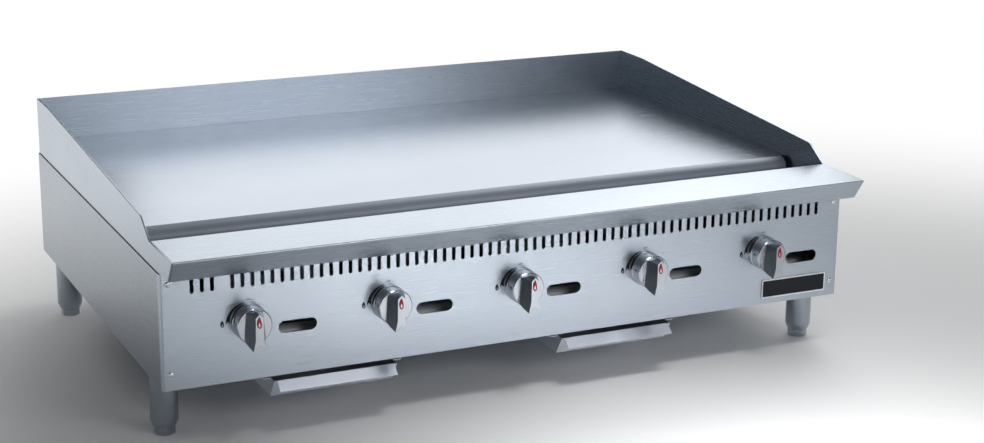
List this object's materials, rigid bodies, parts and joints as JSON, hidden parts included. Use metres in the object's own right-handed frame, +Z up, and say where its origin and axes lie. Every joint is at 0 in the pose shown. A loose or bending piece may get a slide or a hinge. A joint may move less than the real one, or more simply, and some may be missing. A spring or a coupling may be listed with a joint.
{
  "type": "flat top griddle",
  "caption": "Countertop gas griddle: flat steel plate inside splash guards, front ledge and grease trough, turning burner knobs, pull-out drip trays and adjustable legs.",
  "frame": {"origin": "on the surface it stands on, under the middle of its bounding box", "axes": "+X along the front to the cook's right, +Y from the front to the back, +Z up"},
  "size_m": [1.219, 0.896, 0.3866],
  "materials": {
    "stainless": "brushed",
    "plate_steel": "polished",
    "chrome": "bright",
    "dull_steel": "mill",
    "cast_iron": "as cast",
    "brass": "machined",
    "aluminium": "drawn",
    "badge_black": "semi-gloss"
  },
  "bodies": {
    "cabinet": {"front_panel": "stainless", "left_side_panel": "stainless", "right_side_panel": "stainless", "rear_panel": "stainless", "base_pan": "stainless", "plate_front_support": "stainless", "burner_front_support": "stainless", "burner_rear_support": "stainless", "left_splash": "stainless", "right_splash": "stainless", "rear_splash": "stainless", "front_ledge": "stainless", "grease_trough": "stainless", "tray_rail_1_left": "stainless", "tray_rail_1_right": "stainless", "tray_rail_2_left": "stainless", "tray_rail_2_right": "stainless", "griddle_plate": "plate_steel", "badge_plate": "badge_black", "gas_manifold": "dull_steel", "gas_inlet_pipe": "dull_steel", "burner_1": "cast_iron", "gas_valve_1": "brass", "pilot_tube_1": "aluminium", "burner_2": "cast_iron", "gas_valve_2": "brass", "pilot_tube_2": "aluminium", "burner_3": "cast_iron", "gas_valve_3": "brass", "pilot_tube_3": "aluminium", "burner_4": "cast_iron", "gas_valve_4": "brass", "pilot_tube_4": "aluminium", "burner_5": "cast_iron", "gas_valve_5": "brass", "pilot_tube_5": "aluminium", "leg_1": "stainless", "panel_screw_1": "dull_steel", "leg_2": "stainless", "panel_screw_2": "dull_steel", "leg_3": "stainless", "panel_screw_3": "dull_steel", "leg_4": "stainless", "panel_screw_4": "dull_steel"},
    "knob_1": {"control_knob_1": "chrome", "valve_stem_1": "dull_steel"},
    "knob_2": {"control_knob_2": "chrome", "valve_stem_2": "dull_steel"},
    "knob_3": {"control_knob_3": "chrome", "valve_stem_3": "dull_steel"},
    "knob_4": {"control_knob_4": "chrome", "valve_stem_4": "dull_steel"},
    "knob_5": {"control_knob_5": "chrome", "valve_stem_5": "dull_steel"},
    "tray_1": {"drip_tray_1": "stainless"},
    "tray_2": {"drip_tray_2": "stainless"},
    "foot_1": {"levelling_foot_1": "stainless"},
    "foot_2": {"levelling_foot_2": "stainless"},
    "foot_3": {"levelling_foot_3": "stainless"},
    "foot_4": {"levelling_foot_4": "stainless"}
  },
  "joints": [
    {"name": "knob_1_turn", "type": "hinge", "parent": "cabinet", "child": "knob_1", "pos_m": [-0.471, -0.3808, 0.194], "axis": [0, -1, 0], "range_deg": [0, 90]},
    {"name": "knob_2_turn", "type": "hinge", "parent": "cabinet", "child": "knob_2", "pos_m": [-0.24, -0.3808, 0.194], "axis": [0, -1, 0], "range_deg": [0, 90]},
    {"name": "knob_3_turn", "type": "hinge", "parent": "cabinet", "child": "knob_3", "pos_m": [-0.009, -0.3808, 0.194], "axis": [0, -1, 0], "range_deg": [0, 90]},
    {"name": "knob_4_turn", "type": "hinge", "parent": "cabinet", "child": "knob_4", "pos_m": [0.222, -0.3808, 0.194], "axis": [0, -1, 0], "range_deg": [0, 90]},
    {"name": "knob_5_turn", "type": "hinge", "parent": "cabinet", "child": "knob_5", "pos_m": [0.453, -0.3808, 0.194], "axis": [0, -1, 0], "range_deg": [0, 90]},
    {"name": "tray_1_slide", "type": "slide", "parent": "cabinet", "child": "tray_1", "axis": [0, -1, 0], "range_m": [0, 0.2]},
    {"name": "tray_2_slide", "type": "slide", "parent": "cabinet", "child": "tray_2", "axis": [0, -1, 0], "range_m": [0, 0.2]},
    {"name": "foot_1_screw", "type": "slide", "parent": "cabinet", "child": "foot_1", "axis": [0, 0, -1], "range_m": [0, 0.025]},
    {"name": "foot_2_screw", "type": "slide", "parent": "cabinet", "child": "foot_2", "axis": [0, 0, -1], "range_m": [0, 0.025]},
    {"name": "foot_3_screw", "type": "slide", "parent": "cabinet", "child": "foot_3", "axis": [0, 0, -1], "range_m": [0, 0.025]},
    {"name": "foot_4_screw", "type": "slide", "parent": "cabinet", "child": "foot_4", "axis": [0, 0, -1], "range_m": [0, 0.025]}
  ]
}
